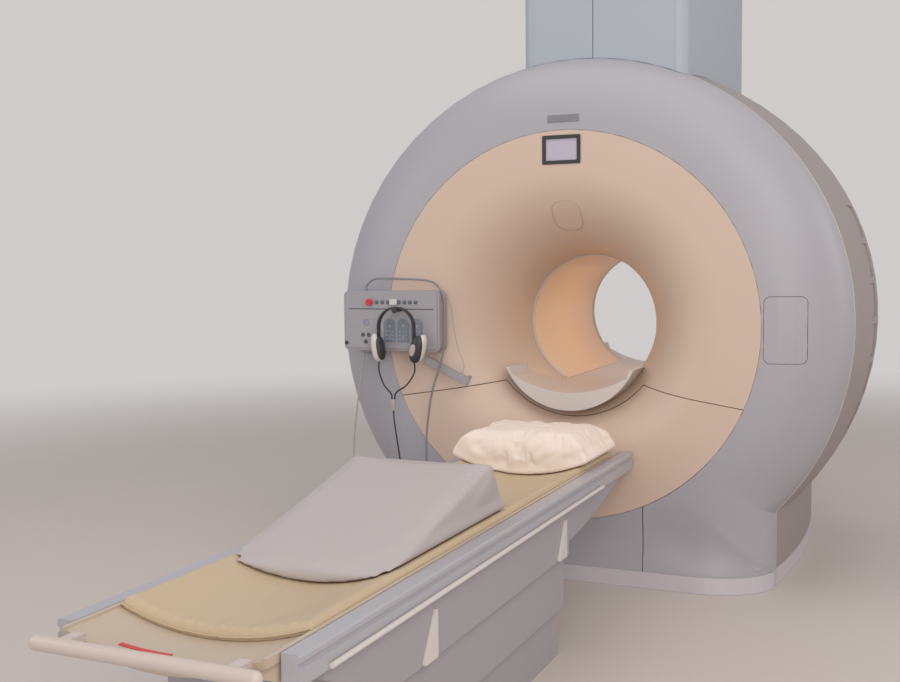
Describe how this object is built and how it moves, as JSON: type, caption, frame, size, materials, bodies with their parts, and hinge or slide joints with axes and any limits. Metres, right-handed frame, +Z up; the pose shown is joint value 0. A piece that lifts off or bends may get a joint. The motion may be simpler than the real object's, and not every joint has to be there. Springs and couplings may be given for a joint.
{
  "type": "mri scanner",
  "caption": "Whole-body magnetic resonance scanner: round cover with a funnel and bore, service tower, control panel with headset, and a lifting patient table with cushions.",
  "frame": {"origin": "on the floor under the middle of the patient bore, at the magnet's floor frame", "axes": "+X to the right seen from the patient table, +Y from the table into the bore, +Z up"},
  "size_m": [2.3496, 4.449, 2.7],
  "materials": {
    "dark_steel": "satin",
    "vessel_steel": "brushed",
    "coil_resin": "matte",
    "bore_beige": "satin",
    "warm_white": "satin",
    "cover_grey": "satin",
    "funnel_peach": "satin",
    "trim_bright": "satin",
    "side_tan": "satin",
    "plinth_metal": "satin",
    "tower_pale": "satin",
    "dark_plastic": "matte",
    "screen_glass": "gloss",
    "panel_grey": "satin",
    "signal_red": "gloss",
    "key_grey": "matte",
    "dark_cord": "matte",
    "grey_cord": "matte",
    "pale_cord": "matte",
    "shroud_grey": "satin",
    "ram_metal": "brushed",
    "rail_blue": "satin",
    "cream_top": "satin",
    "yellow_vinyl": "soft satin vinyl",
    "wedge_grey": "soft vinyl",
    "pillow_cloth": "crumpled cloth"
  },
  "bodies": {
    "scanner": {"floor_frame": "dark_steel", "cryostat": "vessel_steel", "gradient_coil": "coil_resin", "body_coil": "coil_resin", "bore_liner": "bore_beige", "bore_rim": "warm_white", "front_ring_cover": "cover_grey", "lower_front_cover": "cover_grey", "access_panels": "cover_grey", "funnel_cover": "funnel_peach", "lower_funnel_cover": "funnel_peach", "side_trims": "trim_bright", "side_cover_right": "side_tan", "side_cover_left": "side_tan", "rear_ring_cover": "cover_grey", "rear_funnel_cover": "funnel_peach", "plinth_front": "plinth_metal", "plinth_sides": "plinth_metal", "plinth_rear": "plinth_metal", "tower_front_left": "tower_pale", "tower_front_right": "tower_pale", "tower_side_right": "tower_pale", "tower_side_left": "tower_pale", "tower_rear": "tower_pale", "tower_cap": "tower_pale", "service_neck": "vessel_steel", "display_bezel": "dark_plastic", "display_screen": "screen_glass", "laser_window": "warm_white", "bridge": "warm_white", "control_panel": "panel_grey", "control_face": "warm_white", "key_row": "key_grey", "keypads": "key_grey", "headset_hook": "dark_plastic", "headset_band": "dark_plastic", "headset_cups": "warm_white", "headset_lead": "dark_cord", "panel_cable": "grey_cord", "panel_wire": "pale_cord", "panel_lead": "pale_cord", "side_paddle": "panel_grey", "cable_duct": "plinth_metal", "table_base": "dark_steel", "base_shroud": "shroud_grey", "lift_columns": "dark_steel"},
    "table_carriage": {"upper_shroud": "shroud_grey", "lift_rams": "ram_metal", "table_frame": "ram_metal", "side_rails": "rail_blue", "grab_rails": "warm_white", "side_fins": "warm_white", "tabletop": "cream_top", "foot_end_cap": "cream_top", "table_handle": "cream_top", "mattress": "yellow_vinyl", "wedge_cushion": "wedge_grey", "pillow": "pillow_cloth"},
    "mid_shroud": {"mid_shroud": "shroud_grey"},
    "stop_button": {"stop_button": "signal_red"}
  },
  "joints": [
    {"name": "table_lift", "type": "slide", "parent": "scanner", "child": "table_carriage", "axis": [0, 0, 1], "range_m": [0, 0.36]},
    {"name": "mid_shroud_slide", "type": "slide", "parent": "scanner", "child": "mid_shroud", "axis": [0, 0, 1], "range_m": [0, 0.234]},
    {"name": "stop_push", "type": "slide", "parent": "scanner", "child": "stop_button", "axis": [0, 1, 0], "range_m": [0, 0.005], "stiffness_N_per_m": 2000}
  ],
  "couplings": [
    {"joint": "mid_shroud_slide", "follows": "table_lift", "ratio": 0.65}
  ]
}
